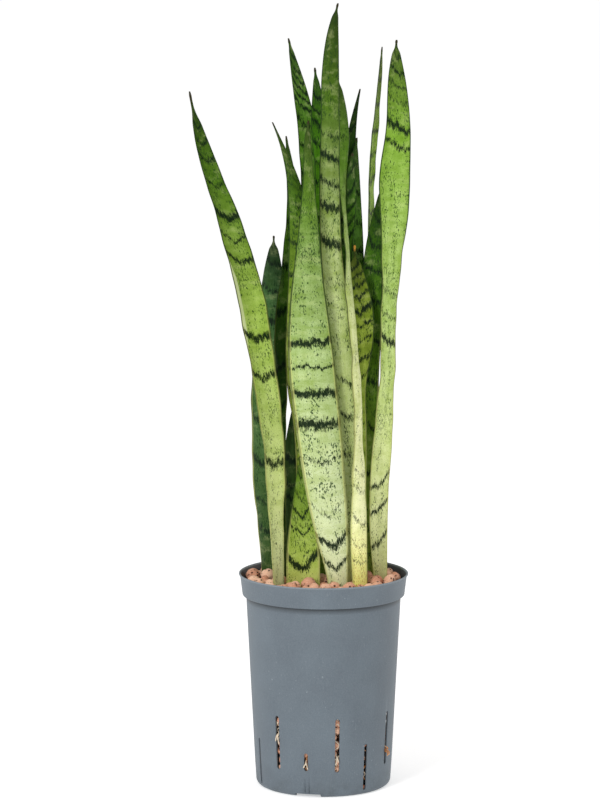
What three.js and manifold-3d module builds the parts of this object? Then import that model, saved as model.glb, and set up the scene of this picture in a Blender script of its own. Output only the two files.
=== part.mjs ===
// A snake plant in a slotted hydroculture pot, drawn in millimetres with +Z up.
// The origin is the middle of the pot's underside. -Y is the front, +X is to the right.
import * as THREE from 'three';
import { mergeVertices } from 'three/addons/utils/BufferGeometryUtils.js';
import Module from 'manifold-3d';

const wasm = await Module();
wasm.setup();

// Pot
const POT_HEIGHT = 190;
const RIM_RADIUS = 75;
const COLLAR_HEIGHT = 19.5;
const COLLAR_TAPER = 3.2;
const COLLAR_STEP = 3.3;
const BODY_TAPER = 8.7;
const WALL = 1.6;
const FLOOR = 2;
const LIP_HEIGHT = 2;
const LIP_FLARE = 1.2;
const CORNER_RADIUS = 5;
const FOOT_HEIGHT = 3.5;
const FOOT_RING_WIDTH = 3;
const PAD_RADIUS = 20;
const POT_SIDES = 48;

// Drainage slots in the pot's wall, in two rows that alternate, and notches in its foot
const SLOTS_PER_ROW = 7;
const UPPER_SLOT = { width: 4, bottom: 23, top: 71, azimuth: 11 };
const LOWER_SLOT = { width: 3.4, bottom: 4.5, top: 46, azimuth: -14.7 };
const SHORT_SLOT_BOTTOM = 24;
const SHORT_SLOT_TOP = 40;
const SEAM_ABOVE_SLOTS = 3;
const NOTCHES = 3;
const NOTCH_WIDTH = 23;
const NOTCH_HEIGHT = 3;
const NOTCH_AZIMUTH = -14;

// Clay granulate and the pebbles that lie on it
const PLANTING_LEVEL = 186;
const GRANULATE_LEVEL = 178;
const GRANULATE_CLEARANCE = 0.3;
const PEBBLE_RADIUS = 5.6;
const RIM_PEBBLES = 14;
const RIM_PEBBLE_INSET = 7.4;

// Leaves
const PLANT_HEIGHT = 692;
const LEAF_DEPTH = 26;
const BASE_THICKNESS = 4.6;
const LEAF_THICKNESS = 3.2;
const TIP_THICKNESS = 1.4;
const MARGIN_THICKNESS = 0.8;
const SPINE_HALF_WIDTH = 0.7;
const LEAF_RINGS = 17;
const POCKET_CLEARANCE = 0.5;

// Rhizomes and roots
const RHIZOME_RADIUS = 8;
const ROOT_RADIUS = 1.2;
const ROOT_REACH = 3;

// The leaves' routes are drawn for this reach above the planting level and this bed radius.
const DRAWN_REACH = 506;
const DRAWN_BED_RADIUS = 70.8;

// Each leaf's route lists, from the planting level up to the tip: height above that level,
// x, y, half width, and turn, which is the angle in degrees between the leaf's width and X.
// cup is the depth of its channel as a share of the half width, hollow to the front if positive.
const LEAVES = [
  {
    name: 'leaf_far_left', green: 0x8fbb5e, cup: 0.3,
    route: [
      [0, -40, -28, 8, 55], [44, -42, -29, 9, 48], [114, -44, -31, 12, 40],
      [194, -54, -32, 14, 38], [254, -65, -33, 15, 36], [314, -81, -33, 12.5, 35],
      [374, -102, -32, 8, 30], [414, -113, -31, 3, 30], [431, -116, -31, 0, 30],
    ],
  },
  {
    name: 'leaf_left_back', green: 0x4b733c, cup: -0.22,
    route: [
      [0, -48, 17, 9, -35], [54, -50, 20, 13.5, -33], [124, -51, 22, 17, -32],
      [184, -49, 24, 17.5, -30], [244, -46, 25, 14, -30], [284, -44.5, 25, 6.5, -30],
      [301, -44, 25, 0, -30],
    ],
  },
  {
    name: 'leaf_left_dark', green: 0x2f5a1e, cup: 0.3,
    route: [
      [0, -38, 0, 7, 50], [74, -39, 0, 8, 52], [154, -39, 1, 8.5, 52],
      [214, -38, 2, 9, 48], [254, -34.5, 4, 9, 42], [294, -29, 6, 8, 35],
      [334, -27, 7, 6, 25], [369, -30.5, 7, 3, 10], [390, -33, 7, 0, 10],
    ],
  },
  {
    name: 'leaf_left_short', green: 0x3d5a38, cup: -0.25,
    route: [
      [0, -26, 15, 8, 0], [54, -27.5, 15, 9, 0], [104, -27, 15, 8.5, 0],
      [144, -24, 15, 5, 0], [166, -22, 15, 0, 0],
    ],
  },
  {
    name: 'leaf_low_front', green: 0x8fa84a, cup: 0.4,
    route: [
      [0, -18, -23, 15, 0], [24, -18, -23, 15, 0], [50, -18.6, -22, 12, 0],
      [78, -19.6, -21, 7, 0], [98, -20.5, -20, 3, 0], [111, -21, -20, 0, 0],
    ],
  },
  {
    name: 'leaf_curved_tip', green: 0x6c8a3c, cup: -0.25,
    route: [
      [0, -13, -4, 8, -12], [74, -15, -5, 9.7, -14], [140, -17, -6, 10.3, -14],
      [166, -20, -6, 13.8, -14], [214, -20.5, -6, 13.8, -12], [274, -19, -7, 12.5, -5],
      [324, -21.5, -7, 9, 10], [354, -27, -8, 5.5, 10], [381, -35.5, -8, 2, 10],
      [403, -45, -8, 0, 10],
    ],
  },
  {
    name: 'leaf_front_broad', green: 0xb4cf8c, cup: -0.2,
    route: [
      [0, 12.8, -37, 8, 0], [24, 10, -38, 12, 0], [54, 5.5, -38, 16, 0],
      [94, 0.5, -38, 18.8, 4], [144, -5, -37, 20.7, 8], [194, -10.5, -36, 21.3, 10],
      [234, -13, -35, 18.2, 8], [274, -14, -34, 13, 5], [314, -13, -33, 9, 10],
      [354, -13.2, -32, 5, 20], [389, -14.5, -31, 3.2, 10], [406, -13.5, -31, 0, 10],
    ],
  },
  {
    name: 'leaf_mid_left', green: 0x6fa048, cup: 0.25,
    route: [
      [0, -5, 24, 8.5, 24], [114, -6, 20, 11.6, 20], [214, -7, 17, 12.6, 22],
      [294, -8, 14, 12.2, 24], [354, -10.5, 11, 11.5, 24], [394, -14.5, 9, 9, 20],
      [424, -19.5, 8, 7.2, 15], [454, -26.5, 8, 3.5, 12], [475, -31, 8, 0, 12],
    ],
  },
  {
    name: 'leaf_mid', green: 0x5f9a3c, cup: 0.25,
    route: [
      [0, 0, 11, 8, 12], [114, 0, 8, 11.3, 14], [214, 0, 4.5, 12.3, 14],
      [294, 0, 1.5, 11.3, 12], [354, 0.5, 0, 8, 8], [394, -4, -1, 7.5, 0],
      [424, -5.5, -2, 5, 0], [450, -8, -2, 0, 0],
    ],
  },
  {
    name: 'leaf_tallest', green: 0x8cb765, cup: -0.25,
    route: [
      [0, 22, -18, 8, -8], [74, 22, -19, 10, -8], [134, 20, -19, 11, -8],
      [194, 16, -18, 11, -6], [244, 11, -17, 10.5, -4], [294, 6.2, -16, 9.4, 0],
      [334, 5, -16, 9.4, 5], [394, 5.4, -15, 8.5, 10], [434, 5.4, -15, 8.2, 10],
      [464, 6.2, -14, 7, 10], [489, 8.5, -14, 4, 10], [506, 12, -14, 0, 10],
    ],
  },
  {
    name: 'leaf_front_twisted', green: 0xd7e39a, cup: -0.2,
    route: [
      [0, 32, -37, 6.5, 10], [24, 30.5, -37, 7.5, 10], [54, 30.8, -36, 8, 20],
      [84, 31.2, -34, 9.5, 50], [124, 31, -31, 10, 66], [194, 28, -27, 10.5, 72],
      [234, 25, -23, 11, 74], [274, 20.8, -16, 9.5, 74], [314, 18.8, -3, 7, 86],
      [334, 17, 1, 7.5, 80], [354, 16.5, 5.5, 8, 55], [374, 16, 7.5, 9, 40],
      [400, 15.5, 8, 8, 30], [424, 13.5, 8.5, 5, 25], [442, 12, 8.5, 0, 25],
    ],
  },
  {
    name: 'leaf_back_narrow', green: 0x3f6a2a, cup: 0.25,
    route: [
      [0, 9, 45, 7.5, -16], [114, 13, 41, 10, -20], [214, 17, 37, 10, -20],
      [294, 20, 33, 8.5, -16], [354, 22, 30, 6, -10], [394, 25, 28, 3.5, 0],
      [414, 28.5, 27, 1.8, 0], [430, 32, 26.5, 0, 0],
    ],
  },
  {
    name: 'leaf_back_right', green: 0x5b8a3a, cup: 0.2,
    route: [
      [0, 28, 37, 7, -12], [114, 28, 32, 10, -14], [214, 27, 27, 10.5, -14],
      [284, 26.5, 23, 9.5, -10], [334, 26, 19, 7, -5], [364, 27, 17, 4, 0],
      [388, 29, 16, 0, 0],
    ],
  },
  {
    name: 'leaf_mid_right', green: 0x426f26, cup: 0.2,
    route: [
      [0, 14, 27, 7.5, -18], [114, 16.5, 22, 10, -18], [214, 16.5, 17, 10, -18],
      [274, 17, 13, 8.5, -22], [314, 22.5, 10, 5, -20], [334, 25.2, 4, 4, -15],
      [354, 23, -1, 4.2, 0], [366, 24, -3, 2.5, 0], [376, 25, -4, 0, 0],
    ],
  },
  {
    name: 'leaf_short_broad', green: 0x94a44b, cup: 0.22,
    route: [
      [0, 32.5, -7, 6.5, 6], [64, 31, -6, 7, 8], [134, 30, -4, 8, 8],
      [174, 29, -3, 8.5, 8], [199, 30, -2, 12.5, 6], [224, 31, -2, 14.2, 5],
      [249, 30, -1, 12, 3], [274, 28, 0, 6.5, 0], [286, 27, 0, 2.6, 0],
      [295, 27, 0, 0, 0],
    ],
  },
  {
    name: 'leaf_right_dark', green: 0x3c6a1c, cup: 0.22,
    route: [
      [0, 41, 10, 6.8, -15], [64, 40, 10, 7.8, -15], [114, 39, 10, 8.2, -14],
      [164, 39.5, 10, 9.2, -12], [214, 41, 10, 10.2, -10], [264, 42.5, 9, 9.7, -8],
      [304, 46, 8, 7.5, -4], [329, 49, 8, 4, 0], [349, 51, 8, 0, 0],
    ],
  },
  {
    name: 'leaf_right_thin', green: 0x86aa4e, cup: 0.3,
    route: [
      [0, 45, 31, 6.5, 60], [114, 45, 30, 9, 68], [214, 44, 28, 9, 72],
      [294, 41, 25, 8, 76], [354, 42, 24, 7, 68], [394, 44.8, 23, 6, 66],
      [434, 48.5, 22, 3.5, 60], [454, 50, 22, 2, 60], [467, 51, 22, 0, 60],
    ],
  },
  {
    name: 'leaf_right_tall', green: 0x98bf5c, cup: 0.2,
    route: [
      [0, 50.5, -2, 6, 0], [29, 48.5, -2, 8, 0], [74, 48.5, -2, 8.6, 10],
      [114, 51, -2, 9.5, 15], [164, 54.5, -1, 8.5, 35], [234, 57, 0, 9, 38],
      [274, 58, 0, 10, 35], [314, 61.4, -1, 13, 20], [354, 61, -1, 14.5, 5],
      [394, 65, 0, 11, 5], [434, 63.4, 0, 8.8, 5], [459, 62.5, 0, 4.5, 5],
      [474, 63, 0, 0, 5],
    ],
  },
];

// Where each rhizome runs under its fan of leaves, in plan
const RHIZOMES = [
  { name: 'rhizome_left', route: [[-39, -30], [-38, -14], [-38, 0], [-37, 17]] },
  { name: 'rhizome_front', route: [[13, -36], [-4, -30], [-16, -18], [-12, -3], [-2, 10], [-5, 26]] },
  { name: 'rhizome_right', route: [[32, -38], [24, -20], [30, -4], [27, 14], [25, 32], [10, 44]] },
  { name: 'rhizome_far_right', route: [[51, -6], [46, 9], [46, 30]] },
];

// Each root leaves a rhizome's underside at x, y and comes out of a slot at an azimuth and height.
const ROOTS = [
  { name: 'root_front', x: 13, y: -36, azimuth: UPPER_SLOT.azimuth, height: 33 },
  { name: 'root_front_left', x: -4, y: -30, azimuth: LOWER_SLOT.azimuth, height: 31 },
  { name: 'root_left', x: -39, y: -30, azimuth: UPPER_SLOT.azimuth - 360 / SLOTS_PER_ROW, height: 52 },
  { name: 'root_right', x: 51, y: -6, azimuth: UPPER_SLOT.azimuth + 360 / SLOTS_PER_ROW, height: 36 },
];

// Pebbles between the leaves: x, y and size as a share of the usual pebble
const INNER_PEBBLES = [
  [-25, -43, 1.1], [-8, -46, 1.0], [22, -50, 1.15], [-4, -40, 0.8],
  [44, -24, 1.1], [-52, -6, 0.9], [14, -2, 1.0], [-27, -6, 0.95],
  [-24, 36, 1.1], [30, 12, 0.9], [1, -14, 1.0],
];

const degrees = THREE.MathUtils.degToRad;

// A direction in plan: azimuth 0 is the front, positive to the right.
const radialAt = (azimuth) => new THREE.Vector3(Math.sin(degrees(azimuth)), -Math.cos(degrees(azimuth)), 0);

// --- booleans ---

function toSolid(geometry) {
  const bare = new THREE.BufferGeometry();
  bare.setAttribute('position', geometry.getAttribute('position'));
  bare.setIndex(geometry.getIndex());
  const merged = mergeVertices(bare, 1e-4);
  const index = merged.getIndex().array;
  const faces = [];
  for (let i = 0; i < index.length; i += 3) {
    const [a, b, c] = [index[i], index[i + 1], index[i + 2]];
    if (a !== b && b !== c && c !== a) {
      faces.push(a, b, c);
    }
  }
  return new wasm.Manifold(new wasm.Mesh({
    numProp: 3,
    vertProperties: new Float32Array(merged.getAttribute('position').array),
    triVerts: new Uint32Array(faces),
  }));
}

function toGeometry(solid) {
  const mesh = solid.getMesh();
  const geometry = new THREE.BufferGeometry();
  geometry.setAttribute('position', new THREE.BufferAttribute(mesh.vertProperties, 3));
  geometry.setIndex(new THREE.BufferAttribute(mesh.triVerts, 1));
  return geometry;
}

// --- pot ---

const collarBottom = POT_HEIGHT - COLLAR_HEIGHT;
const collarRadius = RIM_RADIUS - LIP_FLARE;
const stepRadius = RIM_RADIUS - COLLAR_TAPER;
const bodyTopRadius = stepRadius - COLLAR_STEP;
const bodyBaseRadius = bodyTopRadius - BODY_TAPER;
const floorTop = FOOT_HEIGHT + FLOOR;

// The pot's outer radius on its body's taper
function bodyRadius(z) {
  return THREE.MathUtils.lerp(bodyBaseRadius, bodyTopRadius, z / collarBottom);
}

// The pot's inner radius at any height above its floor
function innerRadius(z) {
  if (z < collarBottom - WALL) {
    return bodyRadius(z) - WALL;
  }
  const share = (z - collarBottom) / (COLLAR_HEIGHT - LIP_HEIGHT);
  return THREE.MathUtils.lerp(stepRadius, collarRadius, share) - WALL;
}

function turned(profile) {
  const geometry = new THREE.LatheGeometry(profile, POT_SIDES);
  geometry.rotateX(Math.PI / 2);
  return geometry;
}

function cornerArc(radius, fromZ) {
  const arc = [];
  const steps = 4;
  for (let i = 0; i <= steps; i += 1) {
    const angle = (i / steps) * Math.PI / 2;
    const centre = bodyBaseRadius - radius;
    arc.push(new THREE.Vector2(centre + radius * Math.sin(angle), fromZ + radius * (1 - Math.cos(angle))));
  }
  return arc;
}

function potProfile() {
  const footOuter = bodyBaseRadius - CORNER_RADIUS;
  const footInner = footOuter - FOOT_RING_WIDTH;
  const lipInner = RIM_RADIUS - WALL;
  const at = (r, z) => new THREE.Vector2(r, z);
  return [
    at(0, 0),
    at(PAD_RADIUS, 0),
    at(PAD_RADIUS + FLOOR, FOOT_HEIGHT),
    at(footInner - 1, FOOT_HEIGHT),
    at(footInner, 0),
    ...cornerArc(CORNER_RADIUS, 0),
    at(bodyTopRadius, collarBottom),
    at(stepRadius - 0.8, collarBottom),
    at(stepRadius, collarBottom + 0.8),
    at(collarRadius, POT_HEIGHT - LIP_HEIGHT),
    at(RIM_RADIUS, POT_HEIGHT - LIP_HEIGHT / 2),
    at(RIM_RADIUS - 0.3, POT_HEIGHT),
    at(lipInner, POT_HEIGHT),
    at(collarRadius - WALL, POT_HEIGHT - LIP_HEIGHT),
    at(stepRadius - WALL, collarBottom + WALL),
    at(bodyTopRadius - WALL, collarBottom - WALL),
    at(innerRadius(floorTop + 2), floorTop + 2),
    at(innerRadius(floorTop) - 2, floorTop),
    at(PAD_RADIUS + FLOOR + 1, floorTop),
    at(PAD_RADIUS, FLOOR),
    at(0, FLOOR),
  ];
}

function slotShape(width, bottom, top) {
  const half = width / 2;
  const shape = new THREE.Shape();
  shape.moveTo(half, bottom + half);
  shape.lineTo(half, top - half);
  shape.absarc(0, top - half, half, 0, Math.PI, false);
  shape.lineTo(-half, bottom + half);
  shape.absarc(0, bottom + half, half, Math.PI, 2 * Math.PI, false);
  return shape;
}

// A cutter that reaches outwards through the wall at an azimuth
function slotCutter(slot, azimuth) {
  const inside = bodyBaseRadius - CORNER_RADIUS - 1;
  const reach = RIM_RADIUS - inside;
  const shape = slotShape(slot.width, slot.bottom, slot.top);
  const geometry = new THREE.ExtrudeGeometry(shape, { depth: reach, bevelEnabled: false, curveSegments: 3 });
  const radial = radialAt(azimuth);
  const up = new THREE.Vector3(0, 0, 1);
  const across = new THREE.Vector3().crossVectors(up, radial);
  const place = new THREE.Matrix4().makeBasis(across, up, radial);
  place.setPosition(radial.clone().multiplyScalar(inside));
  geometry.applyMatrix4(place);
  return toSolid(geometry);
}

function notchCutter(azimuth) {
  const depth = CORNER_RADIUS + 2 * FOOT_RING_WIDTH;
  const geometry = new THREE.BoxGeometry(NOTCH_WIDTH, depth, 2 * NOTCH_HEIGHT);
  geometry.translate(0, -(bodyBaseRadius - FOOT_RING_WIDTH), 0);
  geometry.rotateZ(degrees(azimuth));
  return toSolid(geometry);
}

function growingPot() {
  let pot = toSolid(turned(potProfile()));
  const pitch = 360 / SLOTS_PER_ROW;
  for (let i = 0; i < SLOTS_PER_ROW; i += 1) {
    const shortened = i === 0;
    const lower = shortened
      ? { ...LOWER_SLOT, bottom: SHORT_SLOT_BOTTOM, top: SHORT_SLOT_TOP }
      : LOWER_SLOT;
    pot = pot.subtract(slotCutter(UPPER_SLOT, UPPER_SLOT.azimuth + i * pitch));
    pot = pot.subtract(slotCutter(lower, LOWER_SLOT.azimuth + i * pitch));
  }
  for (let i = 0; i < NOTCHES; i += 1) {
    pot = pot.subtract(notchCutter(NOTCH_AZIMUTH + (i * 360) / NOTCHES));
  }
  return pot;
}

// --- leaves ---

const bedRadius = innerRadius(GRANULATE_LEVEL) - GRANULATE_CLEARANCE;
const spread = bedRadius / DRAWN_BED_RADIUS;
const stretch = (PLANT_HEIGHT - PLANTING_LEVEL) / DRAWN_REACH;

// A smooth value between a route's stations, held level below the first
function alongRoute(route, column, height) {
  if (height <= route[0][0]) {
    return route[0][column];
  }
  const last = route.length - 1;
  let i = 0;
  while (i < last - 1 && height > route[i + 1][0]) {
    i += 1;
  }
  const slope = (a, b) => (route[b][column] - route[a][column]) / (route[b][0] - route[a][0]);
  const [from, to] = [route[i], route[i + 1]];
  const span = to[0] - from[0];
  const share = (height - from[0]) / span;
  const startSlope = i === 0 ? 0 : slope(i - 1, i + 1);
  const endSlope = i + 1 === last ? slope(i, i + 1) : slope(i, i + 2);
  const cube = share ** 3;
  const square = share ** 2;
  return from[column] * (2 * cube - 3 * square + 1)
    + startSlope * span * (cube - 2 * square + share)
    + to[column] * (3 * square - 2 * cube)
    + endSlope * span * (cube - square);
}

// A leaf's channel-shaped section at a height above the planting level, grown by a clearance
function leafSection(leaf, height, clearance) {
  const drawn = height > 0 ? height / stretch : height;
  const reach = leaf.route[leaf.route.length - 1][0];
  const x = alongRoute(leaf.route, 1, drawn) * spread;
  const y = alongRoute(leaf.route, 2, drawn) * spread;
  const width = Math.max(alongRoute(leaf.route, 3, drawn) * spread, SPINE_HALF_WIDTH);
  const turn = degrees(alongRoute(leaf.route, 4, drawn));
  const share = THREE.MathUtils.clamp(drawn / reach, 0, 1);
  const middle = share < 0.3
    ? THREE.MathUtils.lerp(BASE_THICKNESS, LEAF_THICKNESS, share / 0.3)
    : THREE.MathUtils.lerp(LEAF_THICKNESS, TIP_THICKNESS, (share - 0.3) / 0.7);
  const across = new THREE.Vector3(Math.cos(turn), Math.sin(turn), 0);
  const front = new THREE.Vector3(Math.sin(turn), -Math.cos(turn), 0);
  const centre = new THREE.Vector3(x, y, PLANTING_LEVEL + height);
  const point = (u, side) => {
    const half = THREE.MathUtils.lerp(MARGIN_THICKNESS, middle, 1 - u * u) / 2 + clearance;
    const channel = leaf.cup * width * (u * u - 0.5);
    return centre.clone()
      .addScaledVector(across, u * (width + clearance))
      .addScaledVector(front, channel + side * half);
  };
  const shares = [-1, -0.5, 0, 0.5, 1];
  return {
    front: shares.map((u) => point(u, 1)),
    back: shares.map((u) => point(u, -1)),
  };
}

// A closed body through sections, from the lowest to the highest
function loft(sections) {
  const positions = [];
  const faces = [];
  const rings = sections.map((section) => [...section.front, ...section.back.slice().reverse()]);
  const count = rings[0].length;
  rings.flat().forEach((point) => positions.push(point.x, point.y, point.z));
  for (let k = 0; k < rings.length - 1; k += 1) {
    for (let i = 0; i < count; i += 1) {
      const a = k * count + i;
      const b = k * count + (i + 1) % count;
      faces.push(a, b, b + count, a, b + count, a + count);
    }
  }
  const top = (rings.length - 1) * count;
  for (let i = 0; i < count / 2 - 1; i += 1) {
    const j = count - 1 - i;
    faces.push(i, j, j - 1, i, j - 1, i + 1);
    faces.push(top + i, top + j - 1, top + j, top + i, top + i + 1, top + j - 1);
  }
  const geometry = new THREE.BufferGeometry();
  geometry.setAttribute('position', new THREE.Float32BufferAttribute(positions, 3));
  geometry.setIndex(faces);
  return geometry;
}

function leafBody(leaf) {
  const top = leaf.route[leaf.route.length - 1][0] * stretch;
  const sections = [leafSection(leaf, -LEAF_DEPTH, 0)];
  for (let k = 0; k <= LEAF_RINGS; k += 1) {
    const share = 1 - (1 - k / LEAF_RINGS) ** 1.25;
    sections.push(leafSection(leaf, top * share, 0));
  }
  return loft(sections);
}

// The hollow in the granulate that a leaf's foot stands in
function leafPocket(leaf) {
  const bottom = leafSection(leaf, -LEAF_DEPTH - POCKET_CLEARANCE, POCKET_CLEARANCE);
  const top = leafSection(leaf, 0, POCKET_CLEARANCE);
  return toSolid(loft([bottom, top]));
}

// --- rhizomes and roots ---

const leafFoot = PLANTING_LEVEL - LEAF_DEPTH;
const rhizomeFlat = Math.cos(Math.PI / 8);
const rhizomeLevel = leafFoot - POCKET_CLEARANCE - RHIZOME_RADIUS * rhizomeFlat;

function tube(path, radius, sides, steps) {
  const shape = new THREE.Shape();
  for (let i = 0; i < sides; i += 1) {
    const angle = ((i + 0.5) / sides) * 2 * Math.PI;
    const [x, y] = [radius * Math.cos(angle), radius * Math.sin(angle)];
    if (i === 0) {
      shape.moveTo(x, y);
    } else {
      shape.lineTo(x, y);
    }
  }
  shape.closePath();
  return new THREE.ExtrudeGeometry(shape, { steps, extrudePath: path });
}

// Moves a path's end away from its neighbour
function lengthen(end, neighbour, distance) {
  const direction = end.clone().sub(neighbour).normalize();
  end.addScaledVector(direction, distance);
}

// A rhizome, or with a clearance the pocket that it lies in
function rhizomeBody(rhizome, clearance) {
  const points = rhizome.route.map(([x, y]) => new THREE.Vector3(x * spread, y * spread, rhizomeLevel));
  lengthen(points[0], points[1], clearance);
  lengthen(points[points.length - 1], points[points.length - 2], clearance);
  return tube(new THREE.CatmullRomCurve3(points), RHIZOME_RADIUS + clearance, 8, 10);
}

// A root, or with a clearance its pocket: from under its rhizome, down through the granulate
// and out through the middle of a slot
function rootBody(root, clearance) {
  const radial = radialAt(root.azimuth);
  const wall = bodyRadius(root.height);
  const underside = rhizomeLevel - (RHIZOME_RADIUS + POCKET_CLEARANCE) * rhizomeFlat - ROOT_RADIUS;
  const start = new THREE.Vector3(root.x * spread, root.y * spread, underside);
  const mid = radial.clone().multiplyScalar(wall - 16).setZ(root.height + 24);
  const bend = start.clone().lerp(mid, 0.55).setZ(THREE.MathUtils.lerp(start.z, mid.z, 0.6));
  const inside = radial.clone().multiplyScalar(wall - 7).setZ(root.height + 5);
  const outside = radial.clone().multiplyScalar(wall + ROOT_REACH).setZ(root.height);
  lengthen(start, bend, 2 * clearance);
  lengthen(outside, inside, clearance);
  const path = new THREE.CatmullRomCurve3([start, bend, mid, inside, outside]);
  return tube(path, ROOT_RADIUS + clearance, 6, 12);
}

// --- clay ---

function granulate() {
  const gap = GRANULATE_CLEARANCE;
  const low = floorTop + gap;
  const bottomRadius = innerRadius(low + 2) - gap - 2;
  const at = (r, z) => new THREE.Vector2(r, z);
  const profile = [
    at(0, low),
    at(bottomRadius, low),
    at(innerRadius(low + 2) - gap, low + 2),
    at(bodyTopRadius - WALL - 2 * gap, collarBottom - WALL),
    at(stepRadius - WALL - 2 * gap, collarBottom + WALL),
    at(bedRadius, GRANULATE_LEVEL),
    at(0, GRANULATE_LEVEL),
  ];
  let clay = toSolid(turned(profile));
  LEAVES.forEach((leaf) => {
    clay = clay.subtract(leafPocket(leaf));
  });
  RHIZOMES.forEach((rhizome) => {
    clay = clay.subtract(toSolid(rhizomeBody(rhizome, POCKET_CLEARANCE)));
  });
  ROOTS.forEach((root) => {
    clay = clay.subtract(toSolid(rootBody(root, POCKET_CLEARANCE)));
  });
  return toGeometry(clay);
}

function distanceToSegment(x, y, a, b) {
  const [dx, dy] = [b.x - a.x, b.y - a.y];
  const share = THREE.MathUtils.clamp(((x - a.x) * dx + (y - a.y) * dy) / (dx * dx + dy * dy), 0, 1);
  return Math.hypot(x - a.x - share * dx, y - a.y - share * dy);
}

// The room for a pebble at x, y: up to the nearest leaf, the wall and the pebbles already there
function roomAt(x, y, laid) {
  const wall = innerRadius(GRANULATE_LEVEL) - Math.hypot(x, y);
  const room = [wall, ...laid.map((other) => Math.hypot(x - other.x, y - other.y) - other.radius)];
  LEAVES.forEach((leaf) => {
    [0, PEBBLE_RADIUS * 2].forEach((height) => {
      const section = leafSection(leaf, height, 0);
      const outline = [...section.front, ...section.back.slice().reverse()];
      outline.forEach((point, i) => {
        room.push(distanceToSegment(x, y, point, outline[(i + 1) % outline.length]));
      });
    });
  });
  return Math.min(...room) - GRANULATE_CLEARANCE;
}

// A lumpy clay pebble that lies on the granulate
function pebbleBody(pebble, number) {
  const geometry = new THREE.IcosahedronGeometry(1, 1);
  const position = geometry.getAttribute('position');
  const point = new THREE.Vector3();
  for (let i = 0; i < position.count; i += 1) {
    point.fromBufferAttribute(position, i);
    const lump = Math.sin(5 * point.x + number) * Math.sin(4 * point.y + 2 * number) * Math.sin(6 * point.z + 1);
    point.multiplyScalar(pebble.radius * (0.95 + 0.05 * lump));
    position.setXYZ(i, point.x, point.y, point.z);
  }
  geometry.translate(pebble.x, pebble.y, GRANULATE_LEVEL + GRANULATE_CLEARANCE + pebble.radius);
  return geometry;
}

function layPebbles() {
  const laid = [];
  const lay = (x, y, share) => {
    const radius = Math.min(PEBBLE_RADIUS * share, roomAt(x, y, laid));
    laid.push({ x, y, radius });
  };
  INNER_PEBBLES.forEach(([x, y, share]) => lay(x * spread, y * spread, share));
  for (let i = 0; i < RIM_PEBBLES; i += 1) {
    const radial = radialAt(((i + 0.5) * 360) / RIM_PEBBLES);
    const reach = innerRadius(GRANULATE_LEVEL) - RIM_PEBBLE_INSET;
    lay(radial.x * reach, radial.y * reach, 1 + 0.15 * Math.sin(2.4 * i));
  }
  return laid;
}

// --- assembly ---

function material(colour, roughness) {
  return new THREE.MeshStandardMaterial({ color: colour, roughness, metalness: 0 });
}

const plant = new THREE.Group();

function add(name, geometry, look) {
  const mesh = new THREE.Mesh(geometry, look);
  mesh.name = name;
  plant.add(mesh);
}

// One moulding, kept as two solids that meet at a level seam above the slots
const [potWall, potBase] = growingPot().splitByPlane([0, 0, 1], UPPER_SLOT.top + SEAM_ABOVE_SLOTS);
add('pot_base', toGeometry(potBase), material(0x647078, 0.5));
add('pot_wall', toGeometry(potWall), material(0x647078, 0.5));
add('clay_granulate', granulate(), material(0xa86f5a, 0.95));
LEAVES.forEach((leaf) => add(leaf.name, leafBody(leaf), material(leaf.green, 0.5)));
RHIZOMES.forEach((rhizome) => add(rhizome.name, rhizomeBody(rhizome, 0), material(0xc79a4e, 0.7)));
ROOTS.forEach((root) => add(root.name, rootBody(root, 0), material(0xd9b98a, 0.8)));
layPebbles().forEach((pebble, i) => {
  const name = `clay_pebble_${String(i + 1).padStart(2, '0')}`;
  add(name, pebbleBody(pebble, i + 1), material(0xc98a70, 0.95));
});

export default plant;
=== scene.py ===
"""A snake plant in a slotted hydroculture pot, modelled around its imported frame."""

import math
import random

import bmesh
import bpy
import numpy as np
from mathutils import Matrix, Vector


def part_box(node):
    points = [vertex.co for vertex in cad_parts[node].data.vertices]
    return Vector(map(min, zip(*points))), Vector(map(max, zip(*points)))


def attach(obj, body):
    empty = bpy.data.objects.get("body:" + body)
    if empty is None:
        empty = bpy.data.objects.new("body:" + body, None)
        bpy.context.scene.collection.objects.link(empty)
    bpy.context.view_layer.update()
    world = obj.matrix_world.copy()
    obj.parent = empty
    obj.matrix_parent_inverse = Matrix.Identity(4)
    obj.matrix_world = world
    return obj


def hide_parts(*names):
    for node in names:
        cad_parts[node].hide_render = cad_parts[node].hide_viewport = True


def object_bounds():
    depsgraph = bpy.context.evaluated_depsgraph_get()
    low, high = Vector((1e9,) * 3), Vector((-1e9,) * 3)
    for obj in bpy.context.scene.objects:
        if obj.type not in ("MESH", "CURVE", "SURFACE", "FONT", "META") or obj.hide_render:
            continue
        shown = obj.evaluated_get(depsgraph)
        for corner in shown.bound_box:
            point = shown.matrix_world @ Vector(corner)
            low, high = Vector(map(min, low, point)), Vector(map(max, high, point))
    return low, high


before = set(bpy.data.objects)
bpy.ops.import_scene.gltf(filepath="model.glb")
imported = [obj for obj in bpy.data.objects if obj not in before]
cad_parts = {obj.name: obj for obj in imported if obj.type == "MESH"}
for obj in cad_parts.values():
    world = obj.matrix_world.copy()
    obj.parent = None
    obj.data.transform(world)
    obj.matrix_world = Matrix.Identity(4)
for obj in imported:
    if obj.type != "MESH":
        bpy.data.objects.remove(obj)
cad_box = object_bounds()

MM = 0.001

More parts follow.
